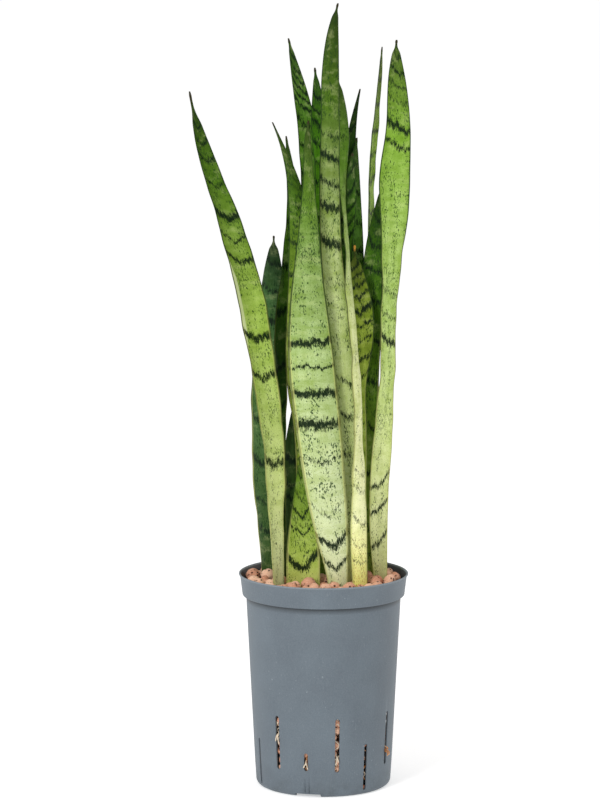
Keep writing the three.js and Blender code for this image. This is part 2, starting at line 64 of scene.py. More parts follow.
# The pot, in millimetres
POT_SIDES = 196
WALL = 1.6
FLOOR = 2.0
COLLAR_HEIGHT = 19.5
COLLAR_TAPER = 3.2
COLLAR_STEP = 3.3
BODY_TAPER = 8.7
LIP_HEIGHT = 2.0
LIP_FLARE = 1.2
CORNER_RADIUS = 5.0
FOOT_HEIGHT = 3.5
FOOT_RING_WIDTH = 3.0
PAD_RADIUS = 20.0
SLOTS_PER_ROW = 7
SLOT_PITCH = 360 / SLOTS_PER_ROW
UPPER_SLOT = {"width": 4.0, "bottom": 23.0, "top": 71.0, "azimuth": 11.0}
LOWER_SLOT = {"width": 3.4, "bottom": 4.5, "top": 46.0, "azimuth": -14.7}
SHORT_SLOT = {"width": 3.4, "bottom": 24.0, "top": 40.0, "azimuth": -14.7}
NOTCHES = 3
NOTCH_WIDTH = 23.0
NOTCH_HEIGHT = 3.0
NOTCH_AZIMUTH = -14.0

# The clay, in millimetres
PLANTING_LEVEL = 186.0
CORE_TOP = 171.0
CORE_INSET = 9.0
CORE_WAVE = 0.9
PEBBLE_SIZES = (3.4, 7.0)
TOP_LAYER_TRIES = 5200
TOP_LAYER_DROP = 2.6
LEAF_FOOT_MARGIN = 1.6
LOWER_RINGS = 7
LOWER_PITCH = 9.5
LOWER_DROP = 12.0
PEBBLE_TEXTURE_STEP = 7.0

# Lines left by the mould below the short slot: degrees round from it, then millimetres
MOULD_LINE_TURNS = (-1.3, 2.2)
MOULD_LINE = {"width": 0.5, "bottom": 3.6, "top": 23.0, "middle": 13.0, "proud": 0.35, "depth": 1.2}

# The studio
AIR_STRENGTH = 0.6
FLOOR_GLOW = 0.44
FLOOR_SIZE = 90
LENS = 162.8
CAMERA_PLACE = (-0.0208, -3.15, 0.79)
CAMERA_TILT = 8.06
LAMP_AIM = (0, 0, 0.35)

rim_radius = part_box("pot_wall")[1].x / MM
pot_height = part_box("pot_wall")[1].z / MM
collar_bottom = pot_height - COLLAR_HEIGHT
collar_radius = rim_radius - LIP_FLARE
step_radius = rim_radius - COLLAR_TAPER
body_top_radius = step_radius - COLLAR_STEP
body_base_radius = body_top_radius - BODY_TAPER
plant_height = cad_box[1].z / MM


# --- materials ---


def srgb(red, green, blue):
    """A colour given as 0 to 255 on screen, in linear light."""
    def linear(level):
        share = level / 255
        return share / 12.92 if share <= 0.04045 else ((share + 0.055) / 1.055) ** 2.4
    return (linear(red), linear(green), linear(blue), 1.0)


class Amount:
    """A number that varies over a surface: a socket that takes part in sums."""

    def __init__(self, finish, socket):
        self.finish = finish
        self.socket = socket

    def combined(self, operation, first, second):
        node = self.finish.node("ShaderNodeMath", {"operation": operation}, {0: first, 1: second})
        return Amount(self.finish, node.outputs[0])

    def __add__(self, other):
        return self.combined("ADD", self, other)

    __radd__ = __add__

    def __sub__(self, other):
        return self.combined("SUBTRACT", self, other)

    def __rsub__(self, other):
        return self.combined("SUBTRACT", other, self)

    def __mul__(self, other):
        return self.combined("MULTIPLY", self, other)

    __rmul__ = __mul__

    def __truediv__(self, other):
        return self.combined("DIVIDE", self, other)

    def __pow__(self, other):
        return self.combined("POWER", self, other)

    def largest(self, other):
        return self.combined("MAXIMUM", self, other)

    def size(self):
        return self.combined("ABSOLUTE", self, 0.0)

    def fraction(self):
        return self.combined("FRACT", self, 0.0)

    def limited(self):
        """The number kept between 0 and 1."""
        node = self.finish.node("ShaderNodeClamp", {}, {0: self})
        return Amount(self.finish, node.outputs[0])

    def rise(self, start, end):
        """0 up to start, 1 from end, and a straight rise between."""
        return ((self - start) / (end - start)).limited()


class Finish:
    """A material: its nodes, and the shader that they feed."""

    def __init__(self, name, roughness, specular=0.5):
        self.material = bpy.data.materials.new(name)
        self.material.use_nodes = True
        self.tree = self.material.node_tree
        self.shader = self.tree.nodes["Principled BSDF"]
        self.shader.inputs["Roughness"].default_value = roughness
        self.shader.inputs["Specular IOR Level"].default_value = specular
        self.place = self.node("ShaderNodeTexCoord", {}, {}).outputs["Object"]
        parts = self.node("ShaderNodeSeparateXYZ", {}, {0: self.place})
        self.x = Amount(self, parts.outputs[0]) / MM
        self.y = Amount(self, parts.outputs[1]) / MM
        self.z = Amount(self, parts.outputs[2]) / MM

    def node(self, kind, settings, values):
        """A node of any kind: its settings first, then its sockets' values or links."""
        node = self.tree.nodes.new(kind)
        for key, setting in settings.items():
            if key == "stops":
                self.set_stops(node.color_ramp, setting)
            else:
                setattr(node, key, setting)
        for key, value in values.items():
            socket = node.inputs[key]
            if isinstance(value, Amount):
                self.tree.links.new(value.socket, socket)
            elif isinstance(value, bpy.types.NodeSocket):
                self.tree.links.new(value, socket)
            else:
                socket.default_value = value
        return node

    def set_stops(self, ramp, stops):
        while len(ramp.elements) < len(stops):
            ramp.elements.new(1.0)
        for element, (position, colour) in zip(ramp.elements, stops):
            element.position = position
            element.color = colour

    def attribute(self, name):
        node = self.node("ShaderNodeAttribute", {"attribute_name": name}, {})
        return Amount(self, node.outputs["Fac"])

    def vector(self, x, y, z):
        return self.node("ShaderNodeCombineXYZ", {}, {0: x, 1: y, 2: z}).outputs[0]

    def noise(self, vector, scale, detail=2.0, roughness=0.5):
        values = {"Vector": vector, "Scale": scale, "Detail": detail, "Roughness": roughness}
        return Amount(self, self.node("ShaderNodeTexNoise", {}, values).outputs["Fac"])

    def cells(self, vector, scale):
        node = self.node("ShaderNodeTexVoronoi", {}, {"Vector": vector, "Scale": scale})
        return Amount(self, node.outputs["Distance"])

    def ramp(self, amount, stops):
        return self.node("ShaderNodeValToRGB", {"stops": stops}, {0: amount}).outputs[0]

    def mixed(self, share, first, second, blend="MIX"):
        settings = {"data_type": "RGBA", "blend_type": blend}
        node = self.node("ShaderNodeMix", settings, {"Factor": share, 6: first, 7: second})
        return node.outputs[2]

    def coloured(self, colour):
        self.tree.links.new(colour, self.shader.inputs["Base Color"])

    def rough(self, amount):
        self.tree.links.new(amount.socket, self.shader.inputs["Roughness"])

    def bumped(self, height, distance, strength=1.0):
        values = {"Height": height, "Distance": distance, "Strength": strength}
        node = self.node("ShaderNodeBump", {}, values)
        self.tree.links.new(node.outputs[0], self.shader.inputs["Normal"])


def pot_finish():
    """Grained blue-grey plastic, scuffed and dusty, with grime low down, painted shade on the inner
    wall and a painted highlight along the lip.
    """
    finish = Finish("scuffed_pot_plastic", 0.5, 0.3)
    cloudy = finish.noise(finish.place, 26.0, 4.0)
    grain = finish.noise(finish.place, 900.0, 3.0, 0.7)
    colour = finish.mixed(cloudy.rise(0.35, 0.65), srgb(90, 100, 109), srgb(98, 109, 118))
    colour = finish.mixed(grain.rise(0.3, 0.75) * 0.3, colour, srgb(130, 140, 147))
    drawn_down = finish.vector(finish.x * 0.9, finish.y * 0.9, finish.z * 0.09)
    streaks = finish.noise(drawn_down, 1.6, 3.0, 0.65)
    colour = finish.mixed(streaks.rise(0.6, 0.72) * 0.22, colour, srgb(140, 148, 153))
    flecks = finish.noise(finish.place, 420.0, 2.0).rise(0.69, 0.74)
    where = finish.noise(finish.place, 18.0, 2.0).rise(0.45, 0.6)
    colour = finish.mixed(flecks * where * 0.3, colour, srgb(170, 178, 182))
    low = 1 - finish.z.rise(2.0, 26.0)
    grime = finish.noise(finish.place, 60.0, 4.0, 0.65).rise(0.42, 0.7)
    colour = finish.mixed(low * grime * 0.35, colour, srgb(62, 64, 62))
    # Painted highlight: the lip's top edge is lightened as if it caught the light.
    painted_lip_highlight = finish.z.rise(pot_height - 1.6, pot_height - 0.4)
    colour = finish.mixed(painted_lip_highlight * (0.3 + 0.5 * grain), colour, srgb(150, 160, 167))
    # Painted shade: the inner faces of the wall, from just below the collar up to the lip, are
    # darkened almost to black.
    reach = (finish.x * finish.x + finish.y * finish.y) ** 0.5
    flare = (collar_radius - step_radius) / (COLLAR_HEIGHT - LIP_HEIGHT)
    skin = step_radius + (finish.z - collar_bottom) * flare
    below_skin = (skin - reach).rise(WALL * 0.4, WALL * 0.7)
    inside = below_skin * finish.z.rise(collar_bottom - 6, collar_bottom)
    colour = finish.mixed(inside * 0.85, colour, srgb(30, 32, 33))
    finish.coloured(colour)
    finish.rough(0.42 + 0.14 * cloudy + 0.1 * grain + 0.1 * low * grime)
    height = 0.5 * grain + 0.8 * streaks
    finish.bumped(height, 0.00012, 0.5)
    return finish.material


def clay_finish(name, light, dark, pore):
    """Fired clay: a warm skin over dark pores, with painted shade darkening it in the depth of the
    bed.
    """
    finish = Finish(name, 0.92, 0.25)
    tone = finish.attribute("tone")
    patches = finish.noise(finish.place, 160.0, 4.0, 0.6)
    colour = finish.mixed((0.6 * tone + 0.5 * patches).rise(0.2, 0.8), dark, light)
    fine = finish.noise(finish.place, 700.0, 3.0, 0.6)
    colour = finish.mixed(fine.rise(0.5, 0.7) * 0.6, colour, srgb(250, 208, 180))
    pits = 1 - finish.cells(finish.place, 300.0).rise(0.2, 0.34)
    clusters = finish.noise(finish.place, 110.0, 2.0).rise(0.44, 0.54)
    colour = finish.mixed(pits * clusters * 0.95, colour, pore)
    # Painted shade: clay lying below the top of the bed is darkened, as if shaded by the pebbles
    # above it.
    bed_shade = (1 - finish.z.rise(PLANTING_LEVEL - 7, PLANTING_LEVEL - 2)) * finish.z.rise(90.0, 120.0)
    colour = finish.mixed(bed_shade * 0.85, colour, srgb(34, 16, 10))
    finish.coloured(colour)
    finish.bumped(fine * 0.5 - pits * clusters * 1.4 + patches, 0.0008, 0.9)
    return finish.material


def root_finish():
    """Pale roots, tan to orange in places."""
    finish = Finish("root_skin", 0.7, 0.3)
    along = finish.noise(finish.place, 90.0, 3.0)
    colour = finish.mixed(along.rise(0.46, 0.6), srgb(238, 226, 204), srgb(196, 128, 62))
    fibres = finish.noise(finish.place, 800.0, 2.0)
    colour = finish.mixed(fibres * 0.4, colour, srgb(120, 78, 44))
    finish.coloured(colour)
    finish.bumped(fibres, 0.0002, 0.6)
    return finish.material


def rhizome_finish():
    """Creeping stems: yellow-brown, ringed and fibrous."""
    finish = Finish("rhizome_skin", 0.65, 0.35)
    rings = finish.noise(finish.vector(finish.x * 0.4, finish.y * 0.4, finish.z * 0.05), 1.0, 4.0)
    colour = finish.mixed(rings.rise(0.35, 0.65), srgb(214, 176, 98), srgb(150, 104, 50))
    finish.coloured(colour)
    finish.bumped(rings, 0.0006, 0.8)
    return finish.material


def floor_finish():
    finish = Finish("studio_floor", 0.8, 0.0)
    soft = finish.noise(finish.place, 0.8, 2.0)
    finish.coloured(finish.mixed(soft * 0.3, srgb(250, 250, 250), srgb(247, 247, 247)))
    finish.shader.inputs["Emission Color"].default_value = (1, 1, 1, 1)
    finish.shader.inputs["Emission Strength"].default_value = FLOOR_GLOW
    return finish.material


# --- leaves ---

# Heights are in millimetres above the surface that the pot stands on.
BAND_LOW = 170.0
BAND_HIGH = 700.0
BAND_SOFTNESS = 1.5
BANDS_PER_RAMP = 10
USUAL_HALF_WIDTH = 14.0
SPINE_LENGTH = 3.5
SPINE_BLEND = 9.0
SPINE_TIP = 0.45
SPINE_GROWTH = 0.05
INK = (2, 26, 5)

# Each leaf: its own look. foot, low, middle and high are its ground colours up the leaf,
# bands lists each dark band's height, half thickness and strength, and ticks lists stretches of
# close small bands: from, to, pitch and strength.
LEAVES = {
    "leaf_far_left": {
        "piece": "far_left_leaf", "foot": (236, 242, 188), "low": (222, 232, 162),
        "middle": (176, 204, 98), "high": (84, 122, 26), "slant": 3.0, "sag": 7.0,
        "drawn_out": (12.0, 18.0), "fold": (384.0, 482.0),
        "bands": [(291, 5, 0.9), (334, 3, 0.45), (366, 4.5, 0.9), (401, 5, 1.0), (446, 3, 0.35),
                  (468, 3.5, 0.9), (487, 3, 0.75), (506, 5, 1.0), (534, 3.5, 0.7), (556, 4, 0.8),
                  (570, 3, 0.85), (584, 3, 0.85), (596, 3, 0.8)],
        "ticks": [(515, 605, 9, 0.65), (200, 500, 14, 0.22)],
    },
    "leaf_left_back": {
        "piece": "left_back_leaf", "foot": (66, 92, 44), "low": (58, 86, 40),
        "middle": (74, 108, 60), "high": (62, 98, 54), "slant": 4.0, "low_sag": 3.0,
        "bands": [(222, 5, 0.8), (248, 4, 0.7), (282, 5, 0.9), (318, 5, 0.8), (352, 6, 1.0),
                  (384, 4, 0.8), (410, 5, 0.9), (438, 4, 0.8), (462, 4, 0.8)],
        "ticks": [(190, 480, 10, 0.5)],
    },
    # Painted shade: this leaf's foot, low and middle colours are darkened for the part of it that
    # stands in shade; its high colour is its own.
    "leaf_left_dark": {
        "piece": "left_dark_leaf", "foot": (56, 84, 26), "low": (44, 78, 14),
        "middle": (42, 80, 10), "high": (96, 142, 46), "slant": -3.0,
        "bands": [(240, 5, 0.8), (290, 5, 0.8), (336, 5, 0.8), (372, 5, 0.9), (420, 6, 0.9),
                  (462, 5, 0.9), (500, 4, 0.8), (532, 4, 0.8)],
        "ticks": [(400, 570, 10, 0.5)],
    },
    "leaf_left_short": {
        "piece": "left_short_leaf", "foot": (78, 96, 52), "low": (60, 84, 40),
        "middle": (56, 82, 34), "high": (48, 74, 28), "slant": 2.0,
        "bands": [(225, 3, 0.6), (254, 4, 0.9), (264, 3, 0.8), (287, 5, 1.0), (316, 4, 0.7)],
        "ticks": [(190, 340, 9, 0.4)],
    },
    "leaf_low_front": {
        "piece": "low_front_leaf", "foot": (206, 216, 124), "low": (182, 202, 98),
        "middle": (150, 176, 74), "high": (112, 146, 48),
        "slant": -1.0, "sag": 12.0, "low_sag": 14.0,
        "bands": [(197, 5, 1.0), (216, 2, 0.4), (226, 2.5, 0.8), (233, 2, 0.7), (242, 3, 0.9),
                  (258, 3, 0.7), (276, 3, 0.7)],
        "ticks": [(205, 290, 7, 0.35)],
    },
    "leaf_curved_tip": {
        "piece": "curved_tip_leaf", "foot": (158, 174, 76), "low": (150, 168, 66),
        "middle": (142, 164, 54), "high": (84, 122, 30), "slant": 3.0,
        "bands": [(260, 4, 0.7), (310, 4, 0.7), (352, 5, 0.8), (400, 5, 0.8), (450, 5, 0.8),
                  (480, 4, 0.8)],
        "ticks": [(488, 560, 8.5, 0.8), (300, 480, 12, 0.35)],
    },
    "leaf_front_broad": {
        "piece": "front_broad_leaf", "foot": (228, 232, 188), "low": (210, 220, 176),
        "middle": (180, 202, 140), "high": (104, 140, 48),
        "slant": -1.0, "sag": 1.0, "low_sag": 13.0,
        "bands": [(198, 4, 0.9), (219, 4.5, 1.0), (247, 3.5, 0.5), (294, 4, 0.6), (327, 6.5, 1.0),
                  (355, 5, 1.0), (377, 2.5, 0.8), (399, 5, 1.0), (426, 3, 0.35), (476, 10, 0.42)],
        "ticks": [(255, 320, 6, 0.34), (405, 500, 7, 0.34), (500, 580, 12, 0.5)],
    },
    "leaf_mid_left": {
        "piece": "mid_left_leaf", "foot": (124, 156, 70), "low": (110, 152, 56),
        "middle": (110, 158, 54), "high": (98, 146, 50), "slant": 8.0,
        "bands": [(500, 4, 0.8), (535, 4, 0.8), (562, 4, 0.8), (583, 4, 0.8), (600, 3.5, 1.0),
                  (609, 3, 0.9), (618, 3, 1.0), (626, 3, 0.9), (634, 3, 0.9), (645, 3.5, 0.9)],
        "ticks": [(200, 500, 14, 0.4)],
    },
    "leaf_mid": {
        "piece": "mid_leaf", "foot": (112, 154, 56), "low": (98, 146, 40),
        "middle": (92, 148, 28), "high": (84, 142, 22), "slant": 5.0,
        "bands": [(500, 5, 0.8), (530, 5, 0.8), (548, 4, 0.7), (566, 4, 0.9), (584, 4, 0.9),
                  (595, 3, 0.9), (609, 3.5, 0.9)],
        "ticks": [(200, 500, 13, 0.4), (560, 630, 8, 0.5)],
    },
    "leaf_tallest": {
        "piece": "tallest_leaf", "foot": (206, 216, 150), "low": (202, 212, 156),
        "middle": (196, 210, 148), "high": (80, 114, 24), "slant": 4.0, "sag": 0.0,
        "bands": [(297, 3.5, 0.8), (332, 4, 0.8), (364, 4, 0.8), (400, 7, 0.45), (450, 6, 0.45),
                  (484, 6, 1.0), (516, 5, 1.0), (537, 4, 0.85), (559, 4.5, 1.0), (578, 4, 0.6)],
        "ticks": [(385, 480, 7, 0.36), (585, 680, 12, 0.4)],
    },
    "leaf_front_twisted": {
        "piece": "front_twisted_leaf", "foot": (244, 240, 140), "low": (244, 244, 196),
        "middle": (228, 234, 178), "high": (118, 164, 54), "slant": 4.0,
        "bands": [(205, 2.5, 0.6), (220, 2.5, 0.6), (240, 3, 0.65), (267, 3, 0.6), (283, 3, 0.6),
                  (330, 3, 0.4), (380, 3, 0.4), (440, 3, 0.4), (520, 3, 0.5), (575, 4, 0.6)],
        "ticks": [],
    },
    "leaf_back_narrow": {
        "piece": "back_narrow_leaf", "foot": (88, 126, 42), "low": (76, 118, 34),
        "middle": (70, 112, 30), "high": (58, 98, 24), "slant": -5.0,
        "bands": [(300, 5, 0.8), (350, 5, 0.8), (400, 5, 0.8), (450, 5, 0.8), (500, 5, 0.9),
                  (535, 4, 0.9), (560, 4, 0.9), (580, 4, 0.9), (598, 3, 0.9)],
        "ticks": [(200, 600, 12, 0.4)],
    },
    "leaf_back_right": {
        "piece": "back_right_leaf", "foot": (122, 156, 62), "low": (108, 148, 48),
        "middle": (106, 150, 60), "high": (98, 146, 62), "slant": 6.0,
        "bands": [(260, 5, 0.8), (320, 5, 0.8), (380, 5, 0.8), (430, 5, 0.8), (475, 4, 0.8),
                  (500, 4, 0.8), (526, 4, 0.8), (550, 3, 0.8)],
        "ticks": [(200, 560, 12, 0.4)],
    },
    "leaf_mid_right": {
        "piece": "mid_right_leaf", "foot": (90, 128, 42), "low": (76, 116, 30),
        "middle": (64, 108, 20), "high": (80, 126, 34), "slant": -6.0,
        "bands": [(280, 5, 0.8), (340, 5, 0.8), (400, 5, 0.8), (450, 5, 0.8), (484, 4, 1.0),
                  (498, 4, 0.9), (512, 4, 0.9), (528, 4, 0.9), (544, 3, 0.9)],
        "ticks": [(200, 560, 10, 0.5)],
    },
    "leaf_short_broad": {
        "piece": "short_broad_leaf", "foot": (170, 184, 92), "low": (168, 184, 88),
        "middle": (170, 188, 84), "high": (136, 156, 50), "spine": (206, 146, 62), "slant": -4.0,
        "drawn_out": (8.0, 9.0),
        "bands": [(364, 3.5, 0.8), (378, 3.5, 0.9), (396, 3, 0.7), (410, 3, 0.8), (422, 4, 1.0),
                  (434, 3, 0.9), (444, 3, 0.9), (453, 3, 0.8), (462, 3, 0.9), (474, 2.5, 0.8)],
        "ticks": [(200, 360, 13, 0.5)],
    },
    "leaf_right_dark": {
        "piece": "right_dark_leaf", "foot": (150, 172, 84), "low": (142, 168, 70),
        "middle": (92, 130, 30), "high": (62, 104, 8), "slant": 5.0,
        "bands": [(230, 4, 0.8), (275, 4, 0.8), (320, 5, 0.8), (360, 5, 0.8), (396, 5, 0.8),
                  (430, 5, 0.8), (458, 4, 0.8), (480, 4, 0.8), (502, 4, 0.8)],
        "ticks": [(300, 520, 11, 0.5)],
    },
    "leaf_right_thin": {
        "piece": "right_thin_leaf", "foot": (156, 182, 80), "low": (142, 176, 66),
        "middle": (134, 170, 56), "high": (142, 176, 60), "slant": 0.0,
        "bands": [(300, 4, 0.8), (360, 4, 0.8), (420, 4, 0.8), (478, 4, 0.9), (506, 3.5, 0.9),
                  (534, 3.5, 0.9), (556, 3, 0.8), (577, 3.5, 0.9), (600, 3, 0.9), (622, 3, 0.8)],
        "ticks": [(300, 650, 11, 0.5)],
    },
    "leaf_right_tall": {
        "piece": "right_tall_leaf", "foot": (240, 244, 180), "low": (226, 232, 172),
        "middle": (190, 216, 132), "high": (136, 176, 64), "slant": 5.0, "low_slant": -7.0,
        "bands": [(217, 3.5, 0.9), (245, 3.5, 0.9), (269, 3.5, 0.9), (345, 3, 0.3), (396, 4.5, 1.0),
                  (417, 3, 0.7), (439, 5, 0.6), (500, 2.5, 0.35), (566, 3.5, 0.85), (582, 5, 0.95),
                  (606, 2.5, 0.7), (619, 2.5, 0.75), (632, 3, 0.85), (645, 3, 0.85), (655, 3, 0.9)],
        "ticks": [(300, 470, 9, 0.28), (480, 560, 9, 0.3), (590, 660, 8, 0.6)],
    },
}


def band_stops(bands):
    """A profile that rises to each band's strength at its height and is nothing between bands."""
    def place(height):
        return (height - BAND_LOW) / (BAND_HIGH - BAND_LOW)
    stops = []
    for i, (height, half, strength) in enumerate(bands):
        below = height - half * BAND_SOFTNESS
        above = height + half * BAND_SOFTNESS
        if i > 0:
            below = max(below, (bands[i - 1][0] + height) / 2 + 0.1)
        if i + 1 < len(bands):
            above = min(above, (bands[i + 1][0] + height) / 2 - 0.1)
        grey = (strength, strength, strength, 1.0)
        stops += [(place(below), (0, 0, 0, 1)), (place(height), grey)]
        stops += [(place(above), (0, 0, 0, 1))]
    return stops


def leaf_finish(node, look, number):
    """Waxy banded leaf: a ground that changes up the leaf, frayed dark bands, specks and streaks,
    and painted shade towards the margins.
    """
    finish = Finish(look["piece"] + "_skin", 0.42, 0.1)
    up = finish.attribute("up")
    across = finish.attribute("across")
    edge = across.size()
    spine = look.get("drawn_out", (SPINE_LENGTH, SPINE_BLEND))[0]
    seed = number * 7.3
    wide = across * USUAL_HALF_WIDTH
    low_waves = finish.noise(finish.vector(wide * 0.05, seed, finish.z * 0.02), 1.0, 2.0)
    zigzag = finish.noise(finish.vector(wide * 0.28, seed + 3.0, finish.z * 0.03), 1.0, 2.0)
    teeth = finish.noise(finish.vector(wide * 2.4, seed, finish.z * 0.2), 1.0, 4.0, 0.75)
    clumps = finish.noise(finish.vector(wide * 0.6, seed + 6.0, finish.z * 0.3), 1.0, 2.0)
    height = finish.z + (low_waves - 0.5) * 9.0 + (zigzag - 0.5) * 10.0
    upper = up.rise(0.2, 0.34)
    low_slant = look.get("low_slant", look["slant"])
    height = height + across * (look["slant"] * upper + low_slant * (1 - upper))
    height = height - edge * (look.get("sag", 3.0) * upper + look.get("low_sag", 4.0) * (1 - upper))
    share = (height - BAND_LOW) / (BAND_HIGH - BAND_LOW)
    profile = Amount(finish, finish.ramp(share, band_stops(look["bands"][:BANDS_PER_RAMP])))
    if len(look["bands"]) > BANDS_PER_RAMP:
        rest = Amount(finish, finish.ramp(share, band_stops(look["bands"][BANDS_PER_RAMP:])))
        profile = profile.largest(rest)
    patchy = finish.noise(finish.vector(wide * 0.16, seed + 9.0, finish.z * 0.045), 1.0, 2.0)
    haze = profile * 0.0
    for start, end, pitch, strength in look["ticks"]:
        inside = finish.z.rise(start, start + pitch) * (1 - finish.z.rise(end - pitch, end))
        tick = 1 - ((height / pitch).fraction() * 2 - 1).size()
        haze = haze.largest(tick * inside * strength)
        profile = profile.largest(tick * inside * (0.2 + 1.5 * (patchy - 0.2)) * strength)
    band = (profile * 1.35 - 0.62 + (teeth - 0.5) * 3.0 + (clumps - 0.5) * 1.3).rise(0.0, 0.3)
    ground = finish.ramp(up, [
        (0.0, srgb(*look["foot"])), (0.14, srgb(*look["low"])), (0.5, srgb(*look["middle"])),
        (0.82, srgb(*look["high"])), (1.0, srgb(*[level * 0.5 for level in look["high"]])),
    ])
    darker = finish.mixed(1.0, ground, srgb(180, 194, 112), "MULTIPLY")
    mottle = finish.noise(finish.vector(wide * 0.12, seed + 5.0, finish.z * 0.04), 1.0, 4.0, 0.6)
    depth = 0.45 + 0.55 * up.rise(0.1, 0.5)
    ground = finish.mixed(mottle.rise(0.4, 0.7) * depth * 0.55, ground, darker)
    lines = finish.noise(finish.vector(wide * 2.2, seed + 1.0, finish.z * 0.012), 1.0, 3.0, 0.6)
    ground = finish.mixed(lines.rise(0.45, 0.75) * depth * 0.4, ground, darker)
    # Painted shade: the ground darkens towards both margins, to give the blade a rounded look.
    ground = finish.mixed(edge.rise(0.55, 0.95) * depth * 0.4, ground, darker)
    steps = finish.noise(finish.vector(wide * 0.05, seed + 2.0, finish.z * 0.13), 1.0, 3.0, 0.6)
    ground = finish.mixed(steps.rise(0.48, 0.66) * depth * 0.55, ground, darker)
    paler = finish.mixed(0.4, ground, srgb(222, 228, 160))
    ground = finish.mixed((1 - steps.rise(0.32, 0.46)) * 0.4, ground, paler)
    grain = finish.noise(finish.vector(wide * 1.5, seed + 7.0, finish.z * 0.9), 1.0, 3.0, 0.7)
    ground = finish.mixed(grain.rise(0.48, 0.66) * (0.3 + 0.3 * depth), ground, darker)
    specks = finish.noise(finish.vector(wide * 1.0, seed + 4.0, finish.z * 0.4), 1.0, 2.0, 0.6)
    near = (patchy.rise(0.42, 0.6) + haze * 0.9 + profile * 0.8).limited()
    speckled = (specks + near * 0.15).rise(0.67, 0.73)
    ground = finish.mixed(speckled * 0.85, ground, srgb(22, 56, 16))
    if "fold" in look:
        start, end = look["fold"]
        along = finish.z.rise(start, start + 26) * (1 - finish.z.rise(end - 26, end))
        turned = (0 - across - 1.12 + along * 0.5).rise(0.0, 0.06)
        ground = finish.mixed(turned * 0.85, ground, srgb(206, 216, 160))
    colour = finish.mixed(band * 0.97, ground, srgb(*INK))
    if node == "leaf_front_twisted":
        rust = specks.rise(0.56, 0.64) * (1 - finish.z.rise(200.0, 240.0)) * 0.8
        colour = finish.mixed(rust, colour, srgb(176, 104, 34))
    pale_edge = edge.rise(0.86, 0.92) * (1 - up.rise(0.4, 0.7)) * look.get("pale_edge", 0.5)
    colour = finish.mixed(pale_edge, colour, srgb(206, 206, 124))
    dark_edge = edge.rise(0.94, 0.99) * (0.3 + 0.55 * up.rise(0.1, 0.6))
    colour = finish.mixed(dark_edge, colour, srgb(26, 50, 14))
    below_tip = (1 - up) * (plant_height - PLANTING_LEVEL)
    dry = 1 - below_tip.rise(spine * 0.6, spine * 1.3)
    colour = finish.mixed(dry * 0.9, colour, srgb(*look.get("spine", (48, 42, 24))))
    finish.coloured(colour)
    finish.rough(0.38 + 0.16 * mottle + 0.1 * lines)
    finish.bumped(lines * 0.6 + teeth * 0.3 + grain * 0.3 - band * 0.15, 0.00035, 0.55)
    return finish.material


def only(piece):
    bpy.ops.object.select_all(action="DESELECT")
    piece.select_set(True)
    bpy.context.view_layer.objects.active = piece


def copied(node, name):
    """A merged copy of a frame node, in quads, to be worked into a finer piece."""
    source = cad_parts[node]
    mesh = source.data.copy()
    mesh.name = name
    piece = bpy.data.objects.new(name, mesh)
    bpy.context.scene.collection.objects.link(piece)
    only(piece)
    if mesh.has_custom_normals:
        bpy.ops.mesh.customdata_custom_splitnormals_clear()
    bpy.ops.object.mode_set(mode="EDIT")
    bpy.ops.mesh.select_all(action="SELECT")
    bpy.ops.mesh.remove_doubles(threshold=2e-6)
    limits = {"face_threshold": math.radians(60), "shape_threshold": math.radians(80)}
    bpy.ops.mesh.tris_convert_to_quads(**limits)
    bpy.ops.object.mode_set(mode="OBJECT")
    return piece


def coordinates(mesh):
    flat = np.zeros(len(mesh.vertices) * 3)
    mesh.vertices.foreach_get("co", flat)
    return flat.reshape(-1, 3)


def rings_of(points):
    """The leaf's level rings, lowest first, each as the numbers of its points."""
    order = np.argsort(points[:, 2])
    rings = [[order[0]]]
    for index in order[1:]:
        if points[index, 2] - points[rings[-1][0], 2] < 5e-5:
            rings[-1].append(index)
        else:
            rings.append([index])
    return rings


def measure_leaf(mesh):
    """Gives each point its share up the leaf, its share across it, and the way the leaf faces."""
    points = coordinates(mesh)
    up = np.zeros(len(points))
    across = np.zeros(len(points))
    facing = np.zeros((len(points), 3))
    floor = PLANTING_LEVEL * MM
    top = points[:, 2].max()
    width = np.array([1.0, 0.0])
    for ring in rings_of(points):
        flat = points[ring][:, :2]
        middle = flat.mean(0)
        spread = flat - middle
        _, sizes, axes = np.linalg.svd(spread)
        if sizes[0] > 3 * sizes[1]:
            width = axes[0] if axes[0][0] > 0 else -axes[0]
        reach = np.abs(spread @ width).max()
        across[ring] = spread @ width / max(reach, 1e-6)
        up[ring] = (points[ring][:, 2] - floor) / (top - floor)
        facing[ring] = (width[1], -width[0], 0.0)
    mesh.attributes.new("up", "FLOAT", "POINT").data.foreach_set("value", up)
    mesh.attributes.new("across", "FLOAT", "POINT").data.foreach_set("value", across)
    ways = mesh.attributes.new("facing", "FLOAT_VECTOR", "POINT")
    ways.data.foreach_set("vector", facing.ravel())


def read_attribute(mesh, name, field, width):
    flat = np.zeros(len(mesh.vertices) * width)
    mesh.attributes[name].data.foreach_get(field, flat)
    return flat.reshape(-1, width) if width > 1 else flat


def draw_out_tip(mesh, length, blend):
    """Narrows the last of the blade to the thin dry spine that each leaf ends in."""
    points = coordinates(mesh)
    below_tip = (points[:, 2].max() - points[:, 2]) / MM
    reach = length + blend
    near = below_tip < reach
    bends = [np.polyfit(below_tip[near], points[near, i], 2) for i in (0, 1)]
    middle = np.stack([np.polyval(bend, below_tip) for bend in bends], 1)
    offset = points[:, :2] - middle
    widest = np.linalg.norm(offset[(below_tip > reach - 4) & near], axis=1).max() / MM
    width = np.maximum(widest * below_tip / reach, 0.01)
    spine = np.minimum((SPINE_TIP + SPINE_GROWTH * below_tip) / width, 1)
    share = np.clip((below_tip - length) / blend, 0, 1)
    share = share * share * (3 - 2 * share)
    keep = share + (1 - share) * spine
    points[near, :2] = (middle + offset * keep[:, None])[near]
    mesh.vertices.foreach_set("co", points.ravel())
    mesh.update()


